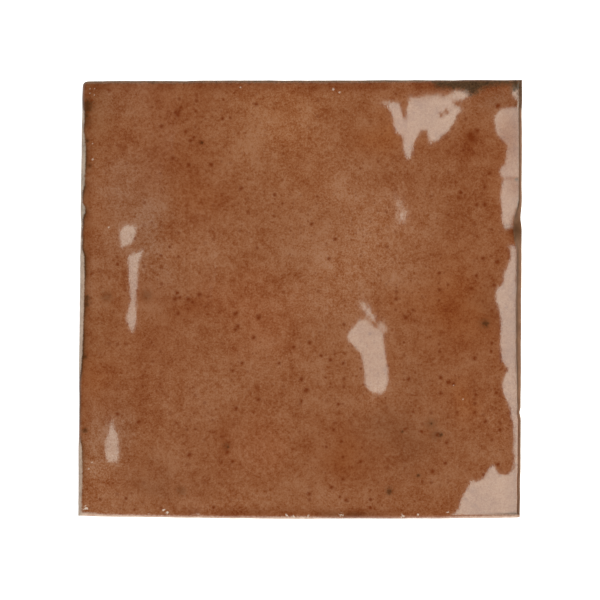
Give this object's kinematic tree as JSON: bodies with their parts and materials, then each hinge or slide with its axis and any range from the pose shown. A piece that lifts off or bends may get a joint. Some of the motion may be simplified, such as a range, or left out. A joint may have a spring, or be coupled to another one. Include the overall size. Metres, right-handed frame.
{
  "type": "porcelain wall tile",
  "caption": "Square porcelain wall tile with an undulating glossy brown glaze on its face, rounded arrises and a pocketed flat back that beds on adhesive.",
  "frame": {"origin": "on the plane of the back, below the middle of the tile's box", "axes": "+Z out of the glazed face, +Y towards the tile's top edge, +X towards its right edge"},
  "size_m": [0.133, 0.1318, 0.0094],
  "materials": {
    "glaze": "glossy mottled brown glaze on a pale fired porcelain body"
  },
  "bodies": {
    "root": {"tile": "glaze"}
  },
  "joints": []
}
